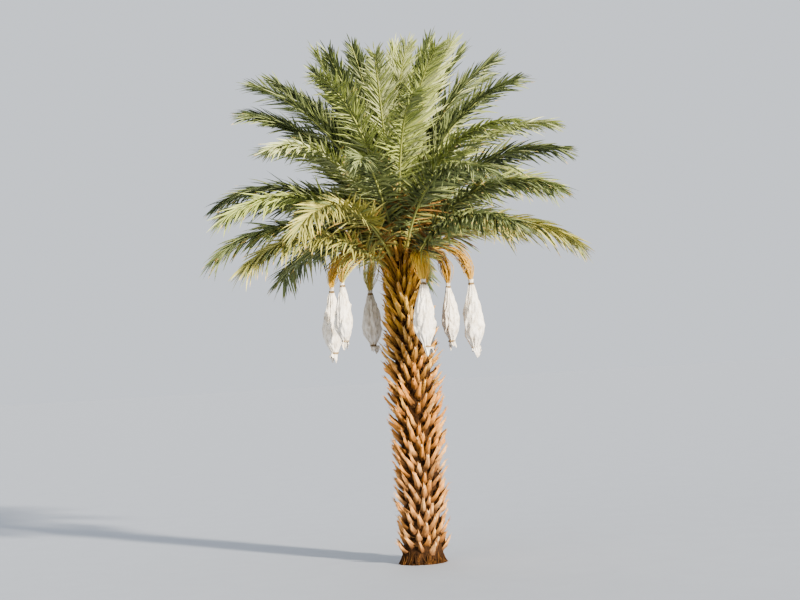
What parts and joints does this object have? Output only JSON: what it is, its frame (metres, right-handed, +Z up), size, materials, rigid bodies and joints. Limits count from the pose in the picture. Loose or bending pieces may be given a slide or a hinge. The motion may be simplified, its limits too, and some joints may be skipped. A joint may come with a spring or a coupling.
{
  "type": "date palm tree",
  "caption": "Date palm with a trunk clad in cut leaf bases, a full crown of arching feather fronds and fruit bunches in cloth bags hanging under it.",
  "frame": {"origin": "centre of the flat cut under the trunk, at ground level", "axes": "+Z up the trunk to the crown, -Y the side that faces the viewer, +X the viewer's right"},
  "size_m": [4.794, 4.7522, 6.5841],
  "materials": {
    "bark": "rough, fibrous",
    "leaf": "waxy, satin",
    "young_leaf": "waxy, satin",
    "stalk": "smooth",
    "bag_cloth": "matt woven cloth"
  },
  "bodies": {
    "root": {"trunk": "bark", "frond_01": "leaf", "frond_02": "leaf", "frond_03": "leaf", "frond_04": "leaf", "frond_05": "leaf", "frond_06": "leaf", "frond_07": "leaf", "frond_08": "leaf", "frond_09": "leaf", "frond_10": "leaf", "frond_11": "leaf", "frond_12": "leaf", "frond_13": "leaf", "frond_14": "leaf", "frond_15": "leaf", "frond_16": "leaf", "frond_17": "leaf", "frond_18": "leaf", "frond_19": "leaf", "frond_20": "leaf", "frond_21": "leaf", "frond_22": "leaf", "frond_23": "leaf", "frond_24": "leaf", "frond_25": "leaf", "frond_26": "leaf", "frond_27": "leaf", "frond_28": "leaf", "frond_29": "leaf", "frond_30": "leaf", "frond_31": "leaf", "frond_32": "leaf", "frond_33": "leaf", "frond_34": "leaf", "frond_35": "leaf", "frond_36": "leaf", "frond_37": "leaf", "frond_38": "leaf", "frond_39": "leaf", "frond_40": "leaf", "frond_41": "leaf", "heart_fronds": "young_leaf", "bunch_stalk_1": "stalk", "bunch_stalk_2": "stalk", "bunch_stalk_3": "stalk", "bunch_stalk_4": "stalk", "bunch_stalk_5": "stalk", "bunch_stalk_6": "stalk", "bunch_stalk_7": "stalk", "fruit_bag_1": "bag_cloth", "fruit_bag_2": "bag_cloth", "fruit_bag_3": "bag_cloth", "fruit_bag_4": "bag_cloth", "fruit_bag_5": "bag_cloth", "fruit_bag_6": "bag_cloth", "fruit_bag_7": "bag_cloth"}
  },
  "joints": []
}
